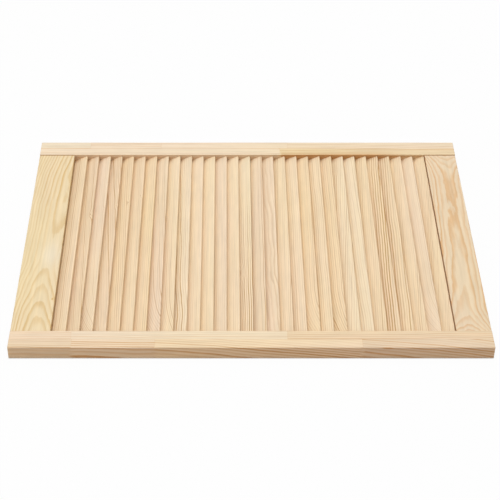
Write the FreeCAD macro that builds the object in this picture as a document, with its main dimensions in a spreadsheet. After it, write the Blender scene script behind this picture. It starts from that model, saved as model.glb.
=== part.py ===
import FreeCAD, Part
import os
import Sketcher

# Louvred cabinet door of pine, lying on its back. Two stiles run the whole length,
# two rails are dowelled between them, and thirty fixed slats sit in slanted mortises.
# X runs down the hung door from top rail to bottom rail, Y across it to the right
# stile, and Z out of its front face. The origin is the middle of the back face.

SIZES = {
    # The frame, over all and piece by piece
    "door_length": 690.0,
    "door_width": 494.0,
    "door_thickness": 21.0,
    "stile_width": 35.0,
    "stile_arris": 1.0,
    "stile_end_chamfer": 0.5,
    "top_rail_width": 57.5,
    "bottom_rail_width": 50.5,
    "rail_setback": 1.5,
    "rail_arris": 0.8,
    # The slats: bars that rise towards +X, with upright edges and flat lands front and back
    "slat_count": 30,
    "slat_width": 24.0,
    "slat_thickness": 6.0,
    "slat_land": 2.5,
    "slat_tilt": 24.0,
    "slat_arris": 1.5,
    "first_slat_gap": 0.2,
    "last_slat_gap": 1.0,
    "slat_seat_depth": 8.0,
    "mortise_side_clearance": 0.1,
    "mortise_end_clearance": 0.5,
    # The dowels in the corner joints
    "dowel_diameter": 8.0,
    "dowel_length": 40.0,
    "dowel_chamfer": 1.0,
    "dowel_flats": 16,
    "dowel_inset": 13.0,
    "dowel_side_clearance": 0.05,
    "dowel_end_clearance": 1.0,
}

ALONG = FreeCAD.Vector(1, 0, 0)
ACROSS = FreeCAD.Vector(0, 1, 0)
STRAIGHT = 1e-6

# Sizes that follow from the driving ones
RAIL_LENGTH = "(Sizes.door_width - 2 * Sizes.stile_width)"
RAIL_THICKNESS = "(Sizes.door_thickness - 2 * Sizes.rail_setback)"
SLAT_LENGTH = f"({RAIL_LENGTH} + 2 * Sizes.slat_seat_depth)"
SLAT_RUN = "(Sizes.slat_width * cos(Sizes.slat_tilt))"
OPENING_START = "(Sizes.top_rail_width - Sizes.door_length / 2)"
OPENING_END = "(Sizes.door_length / 2 - Sizes.bottom_rail_width)"
FIRST_SLAT = f"({OPENING_START} + Sizes.first_slat_gap + {SLAT_RUN} / 2)"
LAST_SLAT = f"({OPENING_END} - Sizes.last_slat_gap - {SLAT_RUN} / 2)"
SLAT_PITCH = f"(({LAST_SLAT} - {FIRST_SLAT}) / (Sizes.slat_count - 1))"
MID_THICKNESS = "(Sizes.door_thickness / 2)"
JOINT_PLANE = "(Sizes.door_width / 2 - Sizes.stile_width)"

# Where the dowels stand along the door, from the outer end of each rail inwards
DOWEL_ROWS = {
    "top_outer": "(-Sizes.door_length / 2 + Sizes.dowel_inset)",
    "top_inner": f"({OPENING_START} - Sizes.dowel_inset)",
    "bottom_inner": f"({OPENING_END} + Sizes.dowel_inset)",
    "bottom_outer": "(Sizes.door_length / 2 - Sizes.dowel_inset)",
}

# The left stile is on the -Y side and the right stile on the +Y side
SIDES = {"left": -1, "right": 1}

doc = FreeCAD.newDocument("louvred_door")
sheet = doc.addObject("Spreadsheet::Sheet", "Sizes")
for row, (name, size) in enumerate(SIZES.items(), start=1):
    sheet.set(f"A{row}", name)
    sheet.set(f"B{row}", str(size))
    sheet.setAlias(f"B{row}", name)
doc.recompute()

pieces = []


def new_piece(label, place):
    """A body with its own label, placed by one expression for each axis."""
    body = doc.addObject("PartDesign::Body", label)
    body.Label = label
    for axis, expression in zip("xyz", place):
        body.setExpression(f"Placement.Base.{axis}", expression)
    pieces.append(body)
    return body


def datum(body, role):
    """One of the body's own origin planes or axes."""
    return next(feature for feature in body.Origin.OriginFeatures if feature.Role == role)


def new_sketch(body, name, plane):
    sketch = body.newObject("Sketcher::SketchObject", name)
    sketch.AttachmentSupport = [(datum(body, plane), "")]
    sketch.MapMode = "FlatFace"
    return sketch


def dimension(sketch, name, expression, kind, *references):
    """A named driving constraint that takes its value from the sheet."""
    size = float(sketch.evalExpression(expression))
    index = sketch.addConstraint(Sketcher.Constraint(kind, *references, size))
    sketch.renameConstraint(index, name)
    sketch.setExpression(f"Constraints.{name}", expression)


def closed_outline(sketch, corners):
    """Straight lines through the corners, joined end to end."""
    ends = corners[1:] + corners[:1]
    for start, end in zip(corners, ends):
        line = Part.LineSegment(FreeCAD.Vector(*start, 0), FreeCAD.Vector(*end, 0))
        sketch.addGeometry(line, False)
    last = len(corners) - 1
    for index in range(len(corners)):
        following = 0 if index == last else index + 1
        sketch.addConstraint(Sketcher.Constraint("Coincident", index, 2, following, 1))


def board_section(body, plane, width, thickness, centred=True, side=1):
    """A rectangle, centred on the origin or standing on it to one side."""
    sketch = new_sketch(body, "section", plane)
    near = -1 if centred else 0
    closed_outline(sketch, [(near, -1), (side, -1), (side, 1), (near, 1)])
    for index in (0, 2):
        sketch.addConstraint(Sketcher.Constraint("Horizontal", index))
    for index in (1, 3):
        sketch.addConstraint(Sketcher.Constraint("Vertical", index))
    if centred:
        sketch.addConstraint(Sketcher.Constraint("Symmetric", 0, 1, 2, 1, -1, 1))
    else:
        sketch.addConstraint(Sketcher.Constraint("Symmetric", 3, 1, 3, 2, -1, 1))
    dimension(sketch, "width", width, "Distance", 0)
    dimension(sketch, "thickness", thickness, "Distance", 1)
    return sketch


def slat_section(body, name, clearance="0"):
    """Sloping faces, upright edges, and a flat land where each face meets its tip."""
    run = f"({SLAT_RUN} + 2 * {clearance})"
    land = f"(Sizes.slat_land + {clearance} * (1 + tan(Sizes.slat_tilt / 2)))"
    rise = f"(({run} - {land}) * tan(Sizes.slat_tilt))"
    height = f"((Sizes.slat_thickness + 2 * {clearance}) / cos(Sizes.slat_tilt))"
    edge = f"({height} - {land} * tan(Sizes.slat_tilt))"
    sketch = new_sketch(body, name, "XZ_Plane")
    reach = float(sketch.evalExpression(f"{run} / 2"))
    step = float(sketch.evalExpression(land))
    tip = float(sketch.evalExpression(f"({rise} + {edge}) / 2"))
    root = tip - float(sketch.evalExpression(edge))
    high_side = [(reach, root), (reach, tip), (reach - step, tip)]
    low_side = [(-x, -z) for x, z in high_side]
    closed_outline(sketch, high_side + low_side)
    high_edge, front_land, low_edge, back_land, under_face = 0, 1, 3, 4, 5
    for upright in (high_edge, low_edge):
        sketch.addConstraint(Sketcher.Constraint("Vertical", upright))
    for level in (front_land, back_land):
        sketch.addConstraint(Sketcher.Constraint("Horizontal", level))
    sketch.addConstraint(Sketcher.Constraint("Equal", high_edge, low_edge))
    sketch.addConstraint(Sketcher.Constraint("Equal", front_land, back_land))
    sketch.addConstraint(Sketcher.Constraint("Symmetric", front_land, 1, back_land, 1, -1, 1))
    dimension(sketch, "run", run, "DistanceX", low_edge, 1, high_edge, 1)
    dimension(sketch, "land", land, "Distance", front_land)
    dimension(sketch, "rise", rise, "DistanceY", under_face, 1, under_face, 2)
    dimension(sketch, "edge", edge, "Distance", high_edge)
    return sketch


def pad_both_ways(body, sketch, length):
    pad = body.newObject("PartDesign::Pad", "bar")
    pad.Profile = sketch
    pad.SideType = "Symmetric"
    pad.setExpression("Length", length)
    doc.recompute()
    return pad


def edge_names(base, edges):
    """What the base feature calls these edges of its shape."""
    return [
        f"Edge{number}"
        for number, edge in enumerate(base.Shape.Edges, start=1)
        if any(edge.isSame(wanted) for wanted in edges)
    ]


def ease_edges(body, base, direction, radius):
    """Rounds the straight edges that run in one direction."""
    edges = []
    for edge in base.Shape.Edges:
        if edge.tangentAt(edge.FirstParameter).cross(direction).Length < STRAIGHT:
            edges.append(edge)
    fillet = body.newObject("PartDesign::Fillet", "eased_edges")
    fillet.Base = (base, edge_names(base, edges))
    fillet.setExpression("Radius", radius)
    doc.recompute()
    return fillet


def chamfer_edges(body, base, edges, size):
    chamfer = body.newObject("PartDesign::Chamfer", "chamfered_ends")
    chamfer.Base = (base, edge_names(base, edges))
    chamfer.setExpression("Size", size)
    doc.recompute()
    return chamfer


def check_cut(feature, base):
    """A cut that misses its board raises no error, so the volumes are compared."""
    if feature.Shape.Volume >= base.Shape.Volume:
        raise RuntimeError(f"{feature.Label} removes nothing")


def drill_dowel_holes(body, base, places, start, into_plus_y):
    """Blind holes for the dowels, half of each dowel's length deep, across the joint."""
    sketch = new_sketch(body, "hole_centres", "XZ_Plane")
    for index, place in enumerate(places):
        centre = FreeCAD.Vector(index - len(places) / 2, 0, 0)
        sketch.addGeometry(Part.Circle(centre, FreeCAD.Vector(0, 0, 1), 1), False)
        sketch.addConstraint(Sketcher.Constraint("PointOnObject", index, 3, -1))
        dimension(sketch, f"place_{index}", place, "DistanceX", -1, 1, index, 3)
        dimension(sketch, f"bore_{index}", "Sizes.dowel_diameter", "Diameter", index)
    # The sketch faces -Y, so its offset and the sense of the holes are counted that way
    sketch.setExpression("AttachmentOffset.Base.z", start)
    doc.recompute()
    holes = body.newObject("PartDesign::Hole", "dowel_holes")
    holes.Profile = sketch
    holes.DepthType = "Dimension"
    holes.DrillPoint = "Flat"
    holes.Reversed = not into_plus_y
    holes.setExpression("Diameter", "Sizes.dowel_diameter + 2 * Sizes.dowel_side_clearance")
    holes.setExpression("Depth", "Sizes.dowel_length / 2 + Sizes.dowel_end_clearance")
    doc.recompute()
    check_cut(holes, base)
    return holes


def make_stile(name, side):
    """A full-length board with a row of slanted mortises in its inner face."""
    body = new_piece(f"{name}_stile", ("0", f"{side} * {JOINT_PLANE}", MID_THICKNESS))
    section = board_section(
        body, "YZ_Plane", "Sizes.stile_width", "Sizes.door_thickness", centred=False, side=side
    )
    board = pad_both_ways(body, section, "Sizes.door_length")
    eased = ease_edges(body, board, ALONG, "Sizes.stile_arris")
    ends = [edge for edge in eased.Shape.Edges if edge.BoundBox.XLength < STRAIGHT]
    chamfered = chamfer_edges(body, eased, ends, "Sizes.stile_end_chamfer")
    holes = drill_dowel_holes(body, chamfered, DOWEL_ROWS.values(), "0", into_plus_y=side > 0)

    outline = slat_section(body, "mortise_outline", clearance="Sizes.mortise_side_clearance")
    outline.setExpression("AttachmentOffset.Base.x", FIRST_SLAT)
    mortise = body.newObject("PartDesign::Pocket", "mortise")
    mortise.Profile = outline
    mortise.Reversed = side < 0
    mortise.setExpression("Length", "Sizes.slat_seat_depth + Sizes.mortise_end_clearance")
    doc.recompute()
    check_cut(mortise, holes)

    row = body.newObject("PartDesign::LinearPattern", "mortise_row")
    row.Originals = [mortise]
    row.Direction = (datum(body, "X_Axis"), [""])
    row.Mode = "Spacing"
    row.setExpression("Occurrences", "Sizes.slat_count")
    row.setExpression("Offset", SLAT_PITCH)
    body.Tip = row
    doc.recompute()
    check_cut(row, mortise)


def make_rail(name, width, middle):
    """A cross board, a little thinner than the stiles, drilled at both ends."""
    body = new_piece(f"{name}_rail", (middle, "0", MID_THICKNESS))
    section = board_section(body, "XZ_Plane", width, RAIL_THICKNESS)
    board = pad_both_ways(body, section, RAIL_LENGTH)
    eased = ease_edges(body, board, ACROSS, "Sizes.rail_arris")
    reach = f"({width} / 2 - Sizes.dowel_inset)"
    holes = drill_dowel_holes(
        body, eased, (f"-{reach}", reach), f"{RAIL_LENGTH} / 2", into_plus_y=True
    )
    both_ends = body.newObject("PartDesign::Mirrored", "far_end_holes")
    both_ends.Originals = [holes]
    both_ends.MirrorPlane = (datum(body, "XZ_Plane"), [""])
    body.Tip = both_ends
    doc.recompute()
    check_cut(both_ends, holes)


def make_slat(index):
    """A fixed slat, whose two ends reach into the mortises of the stiles."""
    place = f"{FIRST_SLAT} + {index} * {SLAT_PITCH}"
    body = new_piece(f"slat_{index + 1:02d}", (place, "0", MID_THICKNESS))
    bar = pad_both_ways(body, slat_section(body, "section"), SLAT_LENGTH)
    ease_edges(body, bar, ACROSS, "Sizes.slat_arris")


def make_dowel(row, name, side):
    """A dowel whose many flats let the glue past, half in the rail and half in the stile."""
    rail, part = row.split("_")
    place = (DOWEL_ROWS[row], f"{side} * {JOINT_PLANE}", MID_THICKNESS)
    body = new_piece(f"dowel_{rail}_{name}_{part}", place)
    rod = body.newObject("PartDesign::AdditivePrism", "rod")
    rod.AttachmentSupport = [(datum(body, "XZ_Plane"), "")]
    rod.MapMode = "FlatFace"
    rod.setExpression("AttachmentOffset.Base.z", "-Sizes.dowel_length / 2")
    rod.setExpression("Polygon", "Sizes.dowel_flats")
    rod.setExpression("Circumradius", "Sizes.dowel_diameter / 2")
    rod.setExpression("Height", "Sizes.dowel_length")
    doc.recompute()
    rims = [edge for edge in rod.Shape.Edges if edge.BoundBox.YLength < STRAIGHT]
    chamfer_edges(body, rod, rims, "Sizes.dowel_chamfer")


for name, side in SIDES.items():
    make_stile(name, side)

make_rail("top", "Sizes.top_rail_width", "(Sizes.top_rail_width - Sizes.door_length) / 2")
make_rail("bottom", "Sizes.bottom_rail_width", "(Sizes.door_length - Sizes.bottom_rail_width) / 2")

for index in range(int(sheet.slat_count)):
    make_slat(index)

for row in DOWEL_ROWS:
    for name, side in SIDES.items():
        make_dowel(row, name, side)

doc.recompute()
for item in doc.Objects:
    if "Invalid" in item.State or "Error" in item.State:
        raise RuntimeError(f"{item.Label} failed: {item.State}")
for body in pieces:
    if body.Shape.isNull() or not body.Shape.isValid() or len(body.Shape.Solids) != 1:
        raise RuntimeError(f"{body.Label} is not one valid solid")

os.makedirs("parts", exist_ok=True)
for body in pieces:
    body.Shape.exportStep(f"parts/{body.Label}.step")
print(f"{len(pieces)} pieces written")
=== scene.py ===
import math

import bpy
from mathutils import Matrix, Vector


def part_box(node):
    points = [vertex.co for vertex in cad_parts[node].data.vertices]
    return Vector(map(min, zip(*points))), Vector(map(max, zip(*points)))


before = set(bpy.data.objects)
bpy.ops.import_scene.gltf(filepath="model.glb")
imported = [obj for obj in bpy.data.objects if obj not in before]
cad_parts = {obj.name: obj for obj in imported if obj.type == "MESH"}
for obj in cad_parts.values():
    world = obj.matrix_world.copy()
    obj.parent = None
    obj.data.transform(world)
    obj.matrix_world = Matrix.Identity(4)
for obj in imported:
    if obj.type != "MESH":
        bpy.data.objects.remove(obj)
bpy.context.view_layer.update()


# Stiles: the two side boards that run the whole length of the door. Each is planed from
# edge-glued pine board, two lamellae wide, whose blocks are finger-jointed end to end.
# The inner faces are mortised for the slats, and the ends of the inner faces take dowels.

MILLIMETRE = 0.001


class Wire:
    """A shader socket, so that a finish can be written as sums on values."""

    def __init__(self, socket):
        self.socket = socket

    def node(self, kind, settings=None, sockets=None, out=0):
        """Another node of the same material: its settings first, then its sockets' values or links."""
        tree = self.socket.id_data
        made = tree.nodes.new(kind)
        for name, value in (settings or {}).items():
            setattr(made, name, value)
        for name, value in (sockets or {}).items():
            if isinstance(value, Wire):
                tree.links.new(value.socket, made.inputs[name])
            else:
                made.inputs[name].default_value = value
        return Wire(made.outputs[out])

    def math(self, operation, *terms):
        return self.node("ShaderNodeMath", {"operation": operation}, dict(enumerate(terms)))

    def __add__(self, other):
        return self.math("ADD", self, other)

    def __sub__(self, other):
        return self.math("SUBTRACT", self, other)

    def __rsub__(self, other):
        return self.math("SUBTRACT", other, self)

    def __mul__(self, other):
        return self.math("MULTIPLY", self, other)

    def __truediv__(self, other):
        return self.math("DIVIDE", self, other)

    def __rtruediv__(self, other):
        return self.math("DIVIDE", other, self)

    def __pow__(self, other):
        return self.math("POWER", self, other)

    def __rpow__(self, other):
        return self.math("POWER", other, self)

    def __gt__(self, other):
        return self.math("GREATER_THAN", self, other)

    def __abs__(self):
        return self.math("ABSOLUTE", self)

    __radd__ = __add__
    __rmul__ = __mul__

    def at_least(self, other):
        return self.math("MAXIMUM", self, other)

    def at_most(self, other):
        return self.math("MINIMUM", self, other)

    def rise(self, low, high):
        """0 below low and 1 above high, with a soft step between them."""
        sockets = {"Value": self, "From Min": low, "From Max": high}
        return self.node("ShaderNodeMapRange", {"interpolation_type": "SMOOTHSTEP"}, sockets)

    def between(self, start, full, fading, end):
        """0 before start, 1 from full to fading, and 0 again after end."""
        return self.rise(start, full) * (1 - self.rise(fading, end))

    def noise(self, scale, detail=2.0, shift=0.0):
        """Noise from -1 to 1 on board coordinates, with a scale for each direction, per millimetre."""
        sockets = {0: self, 1: scale, 2: (shift, shift, shift)}
        stretched = self.node("ShaderNodeVectorMath", {"operation": "MULTIPLY_ADD"}, sockets)
        grey = self.node("ShaderNodeTexNoise", None, {"Vector": stretched, "Scale": 1.0, "Detail": detail})
        return grey * 2 - 1

    def mixed(self, first, second):
        """The first colour where this is 0, and the second where it is 1."""
        return self.node("ShaderNodeMix", {"data_type": "RGBA"}, {0: self, 6: first, 7: second}, out=2)

    def tinted(self, tint):
        """This colour, multiplied by another."""
        return self.node("ShaderNodeVectorMath", {"operation": "MULTIPLY"}, {0: self, 1: tint})

    def times(self, amount):
        """This colour, made lighter or darker."""
        return self.node("ShaderNodeVectorMath", {"operation": "SCALE"}, {0: self, "Scale": amount})

    def facing(self, axis):
        """How squarely this direction points along an axis, either way."""
        sockets = {0: self, 1: axis}
        return abs(self.node("ShaderNodeVectorMath", {"operation": "DOT_PRODUCT"}, sockets, out="Value"))


def paint(red, green, blue):
    """A colour as a screen shows it, from 0 to 255, in the renderer's linear terms."""
    linear = []
    for level in (red, green, blue):
        share = level / 255
        linear.append(share / 12.92 if share <= 0.04045 else ((share + 0.055) / 1.055) ** 2.4)
    return (*linear, 1.0)


def start_finish(name, middle, along, across):
    """A new material, its shader, and the board coordinates of its piece in millimetres."""
    material = bpy.data.materials.new(name)
    material.use_nodes = True
    shader = material.node_tree.nodes["Principled BSDF"]
    turn = Matrix((along, across, along.cross(across))).transposed().to_euler()
    here = Wire(shader.outputs[0]).node("ShaderNodeTexCoord", out="Object")
    sockets = {"Vector": here, "Location": middle, "Rotation": turn, "Scale": (MILLIMETRE,) * 3}
    board = here.node("ShaderNodeMapping", {"vector_type": "TEXTURE"}, sockets)
    return material, shader, board


def split(board):
    """Along, across and through the board."""
    node = board.node("ShaderNodeSeparateXYZ", None, {0: board}).socket.node
    return [Wire(socket) for socket in node.outputs]


# How the rings stray from true circles, per millimetre, and how far they wander sideways
WANDER_SCALE = (0.008, 0.0, 0.0)
RIPPLE_SCALE = (0.02, 0.08, 0.08)
WANDER_REACH = 3.0


def growth(board, heart, ring, aside=0.0, dive=0.0, swell=0.0, wave=1.0, shift=0.0):
    """Years of growth, counted outwards from the heart of the log that the board was sawn from."""
    _, across, through = split(board)
    wander = board.noise(WANDER_SCALE, detail=2.0, shift=shift)
    ripple = board.noise(RIPPLE_SCALE, detail=3.0, shift=shift + 7)
    side = across - heart[0] - aside + wander * (WANDER_REACH * wave)
    below = through - heart[1] - dive
    reach = (side * side + below * below) ** 0.5
    return (reach + ripple * wave + swell) / ring + shift


# The shares of a year at which late wood starts, is darkest, starts to end and ends
LATE_SEASON = (0.3, 0.8, 0.86, 1.0)


def late_wood(years, even=0.2):
    """The dark share of each year's growth, which comes on slowly and ends sharply.

    The years differ by chance, and even is how alike they are.
    """
    year = years.math("FLOOR", years)
    season = years.math("FRACT", years)
    luck = years.node("ShaderNodeTexWhiteNoise", {"noise_dimensions": "1D"}, {"W": year})
    return season.between(*LATE_SEASON) * (luck * luck * (1 - even) + even)


def spot(board, place, size):
    """A spot on the board's face: 1 at its middle, fading around it, and twice as long along the grain."""
    along, across, _ = split(board)
    along_off = (along - place[0]) / (2 * size)
    across_off = (across - place[1]) / size
    nearness = (along_off * along_off + across_off * across_off) * -1
    return nearness.math("EXPONENT", nearness)


LATE_WOOD = paint(212, 164, 110)
PINK_TINT = (1.0, 0.985, 1.0)
YELLOW_TINT = (1.0, 1.0, 0.95)
# Board edges are darker and redder: partly the edge grain's own colour, partly painted shade on the sides
EDGE_GRAIN_AND_SHADE_TINT = (0.86, 0.76, 0.69)
END_TINT = (0.74, 0.62, 0.51)
EDGE_BOLD = 2.1
# Unevenness of the wood, per millimetre along, across and through the board
FIBRE_SCALE = (0.03, 1.3, 1.3)
STREAK_SCALE = (0.008, 0.3, 0.3)
MOTTLE_SCALE = (0.03, 0.12, 0.12)
DRIFT_SCALE = (0.004, 0.03, 0.03)
FLECK_SCALE = (0.1, 2.4, 2.4)
FLECK_EDGE = (0.6, 0.8)
DRIFT_RANGE = (-0.6, 0.6)
# How squarely a surface faces an end or an edge before it counts as one, and any side before it is no arris
FACING_GRAIN = (0.5, 0.9)
FACING_SIDE = (0.75, 0.95)
# How much unevenness lightens or darkens the wood, and how much lighter an eased arris is: partly its sanded
# fibres, partly a painted highlight
FIBRE_SHADE = 0.04
STREAK_SHADE = 0.12
MOTTLE_SHADE = 0.07
FLECK_SHADE = 0.1
ARRIS_SANDING_AND_HIGHLIGHT = 0.08
# The gloss and relief of a sanded surface
SANDED_ROUGHNESS = 0.62
FIBRE_ROUGHNESS = 0.06
LATE_WOOD_GLOSS = 0.08
SPECULAR_LEVEL = 0.25
LATE_WOOD_RELIEF = 0.5
FIBRE_RELIEF = 0.35
RELIEF_STRENGTH = 0.25
RELIEF_DEPTH = 0.1 * MILLIMETRE


def pine(shader, board, wood, dark, along, across, seed=0.0, late=LATE_WOOD, edge_and_shade_tint=EDGE_GRAIN_AND_SHADE_TINT,
         edge_bold=EDGE_BOLD):
    """Planed bare pine: wood with dark lines, drifting colour, fibres, edges darkened partly by painted
    shade, arrises lightened partly by a painted highlight, end grain and relief.
    """
    fibre = board.noise(FIBRE_SCALE, detail=3.0, shift=seed + 3)
    streak = board.noise(STREAK_SCALE, detail=2.0, shift=seed + 5)
    mottle = board.noise(MOTTLE_SCALE, detail=2.0, shift=seed + 11)
    drift = board.noise(DRIFT_SCALE, detail=1.0, shift=seed + 8)
    fleck = board.noise(FLECK_SCALE, detail=0.0, shift=seed + 13).rise(*FLECK_EDGE)
    outward = board.node("ShaderNodeTexCoord", out="Normal")
    lengthways, sideways, flat = (outward.facing(axis) for axis in (along, across, along.cross(across)))
    end_grain = lengthways.rise(*FACING_GRAIN)
    edge_grain = sideways.rise(*FACING_GRAIN)
    arris = 1 - lengthways.at_least(sideways).at_least(flat).rise(*FACING_SIDE)
    colour = (dark * (1 + edge_grain * (edge_bold - 1))).mixed(wood, late)
    colour = colour.tinted(drift.rise(*DRIFT_RANGE).mixed((*PINK_TINT, 1.0), (*YELLOW_TINT, 1.0)))
    # Edge faces tinted: their own edge-grain colour and painted shade
    colour = edge_grain.mixed(colour, colour.tinted(edge_and_shade_tint))
    colour = end_grain.mixed(colour, colour.tinted(END_TINT))
    shade = 1 + fibre * FIBRE_SHADE + streak * STREAK_SHADE + mottle * MOTTLE_SHADE
    # Eased arrises lighter: partly their sanded fibres, partly a painted highlight
    shade = shade * (1 - fleck * FLECK_SHADE) * (1 + arris * ARRIS_SANDING_AND_HIGHLIGHT)
    tree = shader.id_data
    tree.links.new(colour.times(shade).socket, shader.inputs["Base Color"])
    rough = SANDED_ROUGHNESS + fibre * FIBRE_ROUGHNESS - dark * LATE_WOOD_GLOSS
    tree.links.new(rough.socket, shader.inputs["Roughness"])
    shader.inputs["Specular IOR Level"].default_value = SPECULAR_LEVEL
    height = dark * LATE_WOOD_RELIEF + fibre * FIBRE_RELIEF
    sockets = {"Height": height, "Strength": RELIEF_STRENGTH, "Distance": RELIEF_DEPTH}
    tree.links.new(board.node("ShaderNodeBump", None, sockets).socket, shader.inputs["Normal"])


def dress(node, material):
    """The piece's finish, in place of what it comes with."""
    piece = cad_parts[node]
    piece.data.materials.clear()
    piece.data.materials.append(material)


def centre(node):
    """The middle of the piece's box."""
    low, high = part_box(node)
    return (low + high) / 2


X_AXIS = Vector((1, 0, 0))
Y_AXIS = Vector((0, 1, 0))

IVORY = paint(242, 228, 201)
PEARL = paint(243, 224, 197)
GOLD = paint(239, 218, 179)
HONEY = paint(244, 221, 187)
ROSE = paint(243, 221, 192)
BUFF = paint(240, 216, 184)
WHEAT = paint(236, 214, 183)
# Each stile: which way its inner edge faces, and the darkness of its heartwood and of its resin spot
STILES = (("left_stile", 1, 0.0, 1.0), ("right_stile", -1, 0.4, 0.0))
# Blocks of each lamella: wood, where the block starts, how dark its lines are, their slope and their dive
BLOCKS = {
    "left_stile": {
        "inner": [
            (ROSE, -345, 0.7, 0.02, 0.0),
            (PEARL, -257, 0.55, 0.0, 0.0),
            (BUFF, 52, 0.95, 0.01, 0.0),
        ],
        "outer": [
            (WHEAT, -345, 0.7, 0.02, -0.03),
            (ROSE, -255, 1.15, -0.02, 0.0),
            (HONEY, -137, 0.85, 0.0, -0.12),
            (WHEAT, 158, 1.05, 0.0, -0.16),
        ],
    },
    "right_stile": {
        "inner": [
            (PEARL, -345, 0.65, 0.0, 0.0),
            (GOLD, 54, 1.15, 0.01, 0.0),
        ],
        "outer": [
            (IVORY, -345, 0.6, 0.02, 0.0),
            (PEARL, -262, 0.6, 0.0, -0.05),
            (PEARL, -144, 0.5, 0.0, 0.04),
            (PEARL, 67, 0.85, 0.0, -0.05),
        ],
    },
}
STILE_HEART = (-60, -20)
STILE_RING = 3.6
# Years by which one block's growth differs from another's, for each millimetre between their starts
BLOCK_YEARS = 0.191
FINGER_LENGTH = 10.0
FINGER_PITCH = 4.0
FINGER_SHIFT = 0.5
GLUE_WIDTH = (0.1, 0.5)
GLUE_DARKNESS = 0.2
# The glued seam between the lamellae, faint but for one stretch
SEAM_WIDTH = (0.2, 0.8)
SEAM_DARKNESS = 0.15
BOLD_SEAM = (50, 54, 180, 270)
BOLD_SEAM_DARKNESS = 0.45
# Heartwood on the inner side of a block, and a spot of resin at the arris of the outer edge
HEARTWOOD_SIDE = (7, 14)
HEARTWOOD_RUN = (54, 58, 200, 280)
RESIN_ALONG = 193
RESIN_SIZE = 2.5
HALF_STILE = 17.5
OUTER_EDGE = (16.5, 17.3)
RESIN_DEPTH = (7, 10)
# The opening between the rails, past which a narrow strip of the inner edge, in painted shade, stands above
# each rail
OPENING = 582.0
OPENING_MIDDLE = 3.5
SHOULDER_SHADE_TINT = (0.49, 0.33, 0.23)


def lamella(place, blocks):
    """What the block at each place is made of, the block's numbers, and the glue lines between the blocks."""
    wood, *numbers = blocks[0]
    glue = 0.0
    for (_, *last), (tone, *new) in zip(blocks, blocks[1:]):
        past = place > new[0]
        wood = past.mixed(wood, tone)
        numbers = [total + past * (after - before) for total, before, after in zip(numbers, last, new)]
        glue = glue + (1 - abs(place - new[0]).rise(*GLUE_WIDTH))
    return wood, *numbers, glue


for name, inward, heartwood_share, resin_share in STILES:
    material, shader, board = start_finish(f"pine_{name}", centre(name), X_AXIS, Y_AXIS)
    along, across, through = split(board)
    comb = through.math("PINGPONG", through + FINGER_SHIFT, FINGER_PITCH / 2) / (FINGER_PITCH / 2)
    place = along + (comb - 0.5) * FINGER_LENGTH
    outer_wood, *outer_numbers = lamella(place, BLOCKS[name]["outer"])
    inner_wood, *inner_numbers = lamella(place, BLOCKS[name]["inner"])
    inner = across * inward > 0
    wood = inner.mixed(outer_wood, inner_wood)
    numbers = [far + inner * (near - far) for far, near in zip(outer_numbers, inner_numbers)]
    start, bold, slope, dive, glue = numbers
    run = along - start
    years = growth(board, STILE_HEART, STILE_RING, aside=run * slope, dive=run * dive, shift=2.0 * inward)
    seam = SEAM_DARKNESS + along.between(*BOLD_SEAM) * BOLD_SEAM_DARKNESS
    seam = (1 - abs(across).rise(*SEAM_WIDTH)) * seam
    heartwood = (across * inward).rise(*HEARTWOOD_SIDE) * along.between(*HEARTWOOD_RUN) * heartwood_share
    resin = spot(board, (RESIN_ALONG, -HALF_STILE * inward), RESIN_SIZE) * through.rise(*RESIN_DEPTH)
    resin = resin * (across * -inward).rise(*OUTER_EDGE) * resin_share
    lines = late_wood(years + start * BLOCK_YEARS) * bold
    dark = lines + glue * GLUE_DARKNESS + seam + heartwood + resin
    # Painted shade: the inner edge is darkened where it stands above the rails
    shaded_at_rails = inner * (abs(along - OPENING_MIDDLE) > OPENING / 2)
    edge_and_shade_tint = shaded_at_rails.mixed((*EDGE_GRAIN_AND_SHADE_TINT, 1.0), (*SHOULDER_SHADE_TINT, 1.0))
    pine(shader, board, wood, dark, X_AXIS, Y_AXIS, seed=20 * inward, edge_and_shade_tint=edge_and_shade_tint)
    dress(name, material)


# Rails: the two cross boards between the stiles, flat-sawn pine with the grain across the door.
# They are planed a little thinner than the stiles, and each end is held by two dowels.

YELLOW_LATE_WOOD = paint(216, 178, 114)
# Painted shade on the top rail's inner edge, the side that faces the slats
INNER_EDGE_SHADE_TINT = (0.66, 0.6, 0.53)
TOP_HEART = (7, -31)
TOP_RING = 2.9
TOP_WAVE = 1.4
TOP_EVEN = 0.5
# Years that set where the top rail's lines fall
TOP_YEARS = 2.67
# The saddle that parts the top rail's arches: its place and roundness, and how the years fall away from it
SADDLE = 58
SADDLE_ROUNDNESS = 15
SADDLE_FALL = 0.0565
SADDLE_LEAN = 0.0265
# The heart of the top rail's log bends away to the inner edge, and lies deeper towards the right stile
BEND_FROM = 120
BEND = 4.5e-4
DEEPER_FROM = -20
DEEPENING = 0.22
# The top rail's lines are faint in the middle and darker towards the ends
FAINTEST = 0.45
DARKENING = 1.4e-5
DARKENING_LEAN = 9e-4
DARKEST = 0.82
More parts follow.
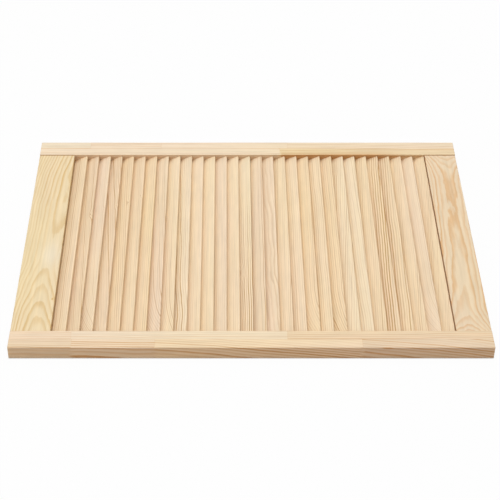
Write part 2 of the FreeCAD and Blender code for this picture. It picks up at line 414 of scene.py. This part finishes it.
# A pale eye in the saddle, and a pin knot at the inner edge
EYE_PLACE = (43, 14)
EYE_SIZE = 15
EYE_CLEARNESS = 0.8
PIN_KNOT_PLACE = (143, 25)
PIN_KNOT_SIZE = 1.5
PIN_KNOT_EDGE = (0.2, 0.8)
PIN_KNOT_DARKNESS = 0.7
material, shader, board = start_finish("pine_top_rail", centre("top_rail"), -Y_AXIS, X_AXIS)
along, across, _ = split(board)
from_saddle = along - SADDLE
saddle = (from_saddle * from_saddle + SADDLE_ROUNDNESS ** 2) ** 0.5 * -SADDLE_FALL - from_saddle * SADDLE_LEAN
aside = (along - BEND_FROM) * (along - BEND_FROM) * BEND
deeper = (DEEPER_FROM - along).at_least(0.0) * DEEPENING
bends = {"aside": aside, "dive": deeper * -1, "swell": saddle - deeper}
years = growth(board, TOP_HEART, TOP_RING, wave=TOP_WAVE, shift=0.05, **bends) + TOP_YEARS
bold = (along * along * DARKENING - along * DARKENING_LEAN + FAINTEST).at_most(DARKEST)
eye = spot(board, EYE_PLACE, EYE_SIZE) * EYE_CLEARNESS
pin_knot = spot(board, PIN_KNOT_PLACE, PIN_KNOT_SIZE).rise(*PIN_KNOT_EDGE) * PIN_KNOT_DARKNESS
dark = late_wood(years, even=TOP_EVEN) * (1 - eye) * bold + pin_knot
# Painted shade: the inner edge is darker than the outer one
edge_and_shade_tint = (across > 0).mixed((*EDGE_GRAIN_AND_SHADE_TINT, 1.0), (*INNER_EDGE_SHADE_TINT, 1.0))
finish = {"seed": 31, "late": YELLOW_LATE_WOOD, "edge_and_shade_tint": edge_and_shade_tint}
pine(shader, board, eye.mixed(GOLD, IVORY), dark, Y_AXIS, X_AXIS, **finish)
dress("top_rail", material)

ORANGE_LATE_WOOD = paint(220, 168, 108)
BOTTOM_HEART = (1, -31)
BOTTOM_RING = 3.0
BOTTOM_WAVE = 2.0
BOTTOM_EVEN = 0.4
BOTTOM_BOLD = 0.75
BOTTOM_LEAN = -0.04
# The bottom rail's arches: half the rail's length, how suddenly they start, how deep they are at its ends,
# and where the flat figure between them starts to slope, and how much
HALF_RAIL = 212
ARCH_START = 8
ARCH_DEPTH = 9
SLOPE_FROM = -60
FIGURE_SLOPE = 0.0138
material, shader, board = start_finish("pine_bottom_rail", centre("bottom_rail"), -Y_AXIS, X_AXIS)
along = split(board)[0]
swell = (along / HALF_RAIL) ** ARCH_START * -ARCH_DEPTH - (along - SLOPE_FROM).at_least(0.0) * FIGURE_SLOPE
bends = {"aside": along * BOTTOM_LEAN, "swell": swell}
years = growth(board, BOTTOM_HEART, BOTTOM_RING, wave=BOTTOM_WAVE, shift=0.42, **bends)
dark = late_wood(years, even=BOTTOM_EVEN) * BOTTOM_BOLD
pine(shader, board, WHEAT, dark, Y_AXIS, X_AXIS, seed=47, late=ORANGE_LATE_WOOD)
dress("bottom_rail", material)


# Dowels: short beech rods glued into the rails and stiles, two in each corner joint.
# They are turned with flats along them that let the glue past.

BEECH = paint(222, 186, 140)
BEECH_HEART = (30, -40)
BEECH_RING = 1.8
BEECH_BOLD = 0.3
Z_AXIS = Vector((0, 0, 1))
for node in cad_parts:
    if node.startswith("dowel"):
        material, shader, board = start_finish(f"beech_{node}", centre(node), Y_AXIS, Z_AXIS)
        years = growth(board, BEECH_HEART, BEECH_RING)
        pine(shader, board, BEECH, late_wood(years) * BEECH_BOLD, Y_AXIS, Z_AXIS)
        dress(node, material)


# Slats: thirty thin pine bars, which slope down towards the top rail. They have upright edges,
# eased by sanding, and their ends are glued into slanted mortises in the stiles, so they don't turn.

STRAW = paint(245, 221, 184)
CREAM = paint(246, 224, 191)
MILK = paint(246, 227, 196)
SLAT_LATE_WOOD = paint(203, 163, 114)
# The slats' upright edges are darker: partly their edge grain's own colour, partly painted shade
SLAT_EDGE_GRAIN_AND_SHADE_TINT = (0.82, 0.77, 0.69)
SLAT_EDGE_BOLD = 1.0
SLAT_TILT = math.radians(24)
# Each slat's wood, the darkness of its lines and how it grows towards the left stile,
# the lines' spacing, lean and waviness, and their hook at the left stile
SLATS = (
    (HONEY, 0.8, 0.0, 3.2, 0.0, 0.8, 0.0),
    (BUFF, 0.9, 0.0, 2.8, 0.05, 1.2, 0.0),
    (ROSE, 0.5, 0.25, 2.8, 0.03, 0.8, 2.5e-3),
    (BUFF, 1.0, -0.55, 4.2, 0.08, 1.0, 0.0),
    (STRAW, 0.6, 0.0, 3.4, 0.04, 1.0, 0.0),
    (HONEY, 0.5, -0.1, 3.0, 0.03, 0.8, 0.0),
    (STRAW, 0.6, 0.2, 3.2, 0.0, 0.6, 0.0),
    (ROSE, 0.7, 0.35, 3.4, 0.05, 1.2, 2e-3),
    (CREAM, 0.45, 0.4, 3.0, 0.0, 0.8, 1.5e-3),
    (MILK, 1.1, 0.2, 3.8, 0.03, 1.8, 0.0),
    (CREAM, 0.25, 0.25, 3.0, 0.0, 0.6, 0.0),
    (CREAM, 0.25, 0.25, 3.2, 0.01, 0.6, 0.0),
    (ROSE, 0.3, 0.25, 3.4, 0.0, 0.8, 0.0),
    (CREAM, 0.25, 0.2, 3.0, 0.0, 0.6, 0.0),
    (MILK, 1.2, 1.2, 3.4, 0.0, 0.8, 0.0),
    (ROSE, 0.8, 0.1, 2.6, 0.0, 0.6, 0.0),
    (ROSE, 0.7, 0.3, 7.0, 0.05, 3.5, 0.0),
    (CREAM, 0.6, 0.1, 3.0, -0.03, 0.8, 0.0),
    (CREAM, 0.45, 0.15, 3.4, 0.0, 0.8, 0.0),
    (STRAW, 0.5, 0.05, 3.4, -0.02, 1.0, 2e-3),
    (CREAM, 1.0, 0.1, 3.2, 0.0, 0.9, 0.0),
    (STRAW, 1.0, 0.15, 3.2, 0.0, 1.2, 1.5e-3),
    (MILK, 0.8, 0.0, 3.6, -0.08, 1.0, 0.0),
    (MILK, 0.5, 0.1, 3.4, 0.02, 1.0, 0.0),
    (HONEY, 1.0, 0.1, 3.2, -0.05, 0.9, 0.0),
    (HONEY, 1.8, 0.3, 3.8, -0.03, 1.2, 0.0),
    (HONEY, 1.25, 0.3, 3.8, -0.03, 1.2, 0.0),
    (HONEY, 0.5, 0.15, 3.0, -0.06, 0.8, 0.0),
    (ROSE, 0.3, 0.15, 3.0, 0.0, 0.6, 2.5e-3),
    (HONEY, 0.7, 0.2, 2.6, -0.1, 0.8, 0.0),
)
# Pin knots by slat: how far along and across, and how big
SLAT_KNOTS = {
    2: (-59, 9, 5),
    3: (-75, 10, 2),
    4: (-81, 10, 3),
    5: (-89, 10, 3),
    6: (-107, 9, 3),
    15: (75, -9, 9),
}
KNOT_SWELL = 0.8
KNOT_CORE = 0.25
KNOT_EDGE = (0.3, 0.8)
KNOT_DARKNESS = 0.6
# The heart of a slat's log lies far to one side and below, and every second slat is turned round
SLAT_HEART_ASIDE = 90
SLAT_HEART_BELOW = -40
# A ring's width for each millimetre of spacing, and the length over which the darkness grows
RING_SHARE = 0.9
GROWING_LENGTH = 200
HOOK_FROM = 110
# Painted shade in the corners where a slat enters its mortises, darkest on its low side
CORNER_SHADE_COLOUR = paint(188, 152, 110)
CORNER_RUN = (198, 213)
LOW_SIDE = (-2, 8)
END_SHADE_DEPTH = 0.1
LOW_SIDE_SHADE_DEPTH = 0.7
slat_across = Vector((math.cos(SLAT_TILT), 0, math.sin(SLAT_TILT)))
for number, (wood, bold, growing, spacing, lean, wave, hook) in enumerate(SLATS, start=1):
    name = f"slat_{number:02d}"
    material, shader, board = start_finish(f"pine_{name}", centre(name), -Y_AXIS, slat_across)
    along, across, _ = split(board)
    swell = 0.0
    core = 0.0
    if number in SLAT_KNOTS:
        *place, size = SLAT_KNOTS[number]
        swell = spot(board, place, size) * (KNOT_SWELL * size)
        core = spot(board, place, KNOT_CORE * size).rise(*KNOT_EDGE) * KNOT_DARKNESS
    near_end = (along - HOOK_FROM).at_least(0.0)
    bends = {"aside": along * lean + near_end * near_end * hook, "swell": swell}
    heart = (SLAT_HEART_ASIDE if number % 2 else -SLAT_HEART_ASIDE, SLAT_HEART_BELOW)
    years = growth(board, heart, spacing * RING_SHARE, wave=wave, shift=9.0 * number, **bends)
    dark = late_wood(years) * (bold + along * (growing / GROWING_LENGTH)) + core
    # Painted shade: each slat's wood is darkened towards its ends, most on its low side
    low_side_shade = (across * -1).rise(*LOW_SIDE) * LOW_SIDE_SHADE_DEPTH
    wood = (abs(along).rise(*CORNER_RUN) * (END_SHADE_DEPTH + low_side_shade)).mixed(wood, CORNER_SHADE_COLOUR)
    edges = {"edge_and_shade_tint": SLAT_EDGE_GRAIN_AND_SHADE_TINT, "edge_bold": SLAT_EDGE_BOLD}
    pine(shader, board, wood, dark, Y_AXIS, slat_across, seed=3.0 * number, late=SLAT_LATE_WOOD, **edges)
    dress(name, material)


# Studio: a pale floor under the door, a large soft lamp above it, a small one beside it, an even fill,
# and a camera that looks down on the door from beyond its left stile.

FLOOR_SIZE = 20.0
FLOOR_PAINT = (0.8, 0.8, 0.8, 1.0)
FLOOR_ROUGHNESS = 0.9
FLOOR_GLOW = 0.96
PAPER_WHITE = (1.0, 1.0, 1.0, 1.0)
CONTACT_REACH = 1.5 * MILLIMETRE


def showing(wire):
    """1 for the rays that show the backdrop: straight from the camera, in gloss and through glass."""
    rays = wire.node("ShaderNodeLightPath").socket.node.outputs
    direct = Wire(rays["Is Camera Ray"]).at_least(Wire(rays["Is Glossy Ray"]))
    return direct.at_least(Wire(rays["Is Transmission Ray"]))


floor_mesh = bpy.data.meshes.new("floor")
half_floor = FLOOR_SIZE / 2
corners = [(x * half_floor, y * half_floor, 0.0) for x, y in ((-1, -1), (1, -1), (1, 1), (-1, 1))]
floor_mesh.from_pydata(corners, [], [(0, 1, 2, 3)])
floor = bpy.data.objects.new("floor", floor_mesh)
bpy.context.scene.collection.objects.link(floor)

floor_material = bpy.data.materials.new("pale_floor")
floor_material.use_nodes = True
floor_tree = floor_material.node_tree
floor_shader = floor_tree.nodes["Principled BSDF"]
floor_shader.inputs["Base Color"].default_value = FLOOR_PAINT
floor_shader.inputs["Roughness"].default_value = FLOOR_ROUGHNESS
floor_shader.inputs["Specular IOR Level"].default_value = 0.0
matt = Wire(floor_shader.outputs[0])
glow = matt.node("ShaderNodeEmission", None, {"Color": PAPER_WHITE, "Strength": 1.0})
# The glow fades by ambient occlusion where the door is near: a contact shadow drawn into the floor's material
clear = matt.node("ShaderNodeAmbientOcclusion", None, {"Distance": CONTACT_REACH}, out="AO")
glowing = showing(matt) * clear * clear * FLOOR_GLOW
white = matt.node("ShaderNodeMixShader", None, {0: glowing, 1: matt, 2: glow})
floor_tree.links.new(white.socket, floor_tree.nodes["Material Output"].inputs["Surface"])
floor_mesh.materials.append(floor_material)

FILL = 0.42
world = bpy.data.worlds.new("studio")
bpy.context.scene.world = world
world.use_nodes = True
world_tree = world.node_tree
fill_light = world_tree.nodes["Background"]
fill_light.inputs["Color"].default_value = PAPER_WHITE
fill_light.inputs["Strength"].default_value = FILL
dim = Wire(fill_light.outputs[0])
backdrop = dim.node("ShaderNodeBackground", None, {"Color": PAPER_WHITE, "Strength": 1.0})
shown = dim.node("ShaderNodeMixShader", None, {0: showing(dim), 1: dim, 2: backdrop})
world_tree.links.new(shown.socket, world_tree.nodes["World Output"].inputs["Surface"])

# Lamps: name, place, size and power
LAMPS = (
    ("soft_lamp", Vector((0.15, 0.35, 2.3)), 2.6, 37.8),
    ("side_lamp", Vector((-1.5, -0.9, 1.2)), 1.0, 6.5),
)
for name, place, size, power in LAMPS:
    lamp_data = bpy.data.lights.new(name, "AREA")
    lamp_data.shape = "SQUARE"
    lamp_data.size = size
    lamp_data.energy = power
    lamp = bpy.data.objects.new(name, lamp_data)
    lamp.location = place
    lamp.rotation_euler = (-place).to_track_quat("-Z", "Y").to_euler()
    bpy.context.scene.collection.objects.link(lamp)

CAMERA_PLACE = Vector((-0.0356, -1.6728, 1.4060))
CAMERA_PITCH = math.radians(49.81)
PICTURE_WIDTH = 500
FOCAL_PIXELS = 1404
MIDDLE_COLUMN = 226.1
camera_data = bpy.data.cameras.new("camera")
camera_data.sensor_width = 36.0
camera_data.lens = camera_data.sensor_width * FOCAL_PIXELS / PICTURE_WIDTH
camera_data.shift_x = (PICTURE_WIDTH / 2 - MIDDLE_COLUMN) / PICTURE_WIDTH
camera = bpy.data.objects.new("camera", camera_data)
camera.location = CAMERA_PLACE
camera.rotation_euler = (CAMERA_PITCH, 0.0, 0.0)
bpy.context.scene.collection.objects.link(camera)
bpy.context.scene.camera = camera
bpy.context.scene.view_settings.view_transform = "Standard"
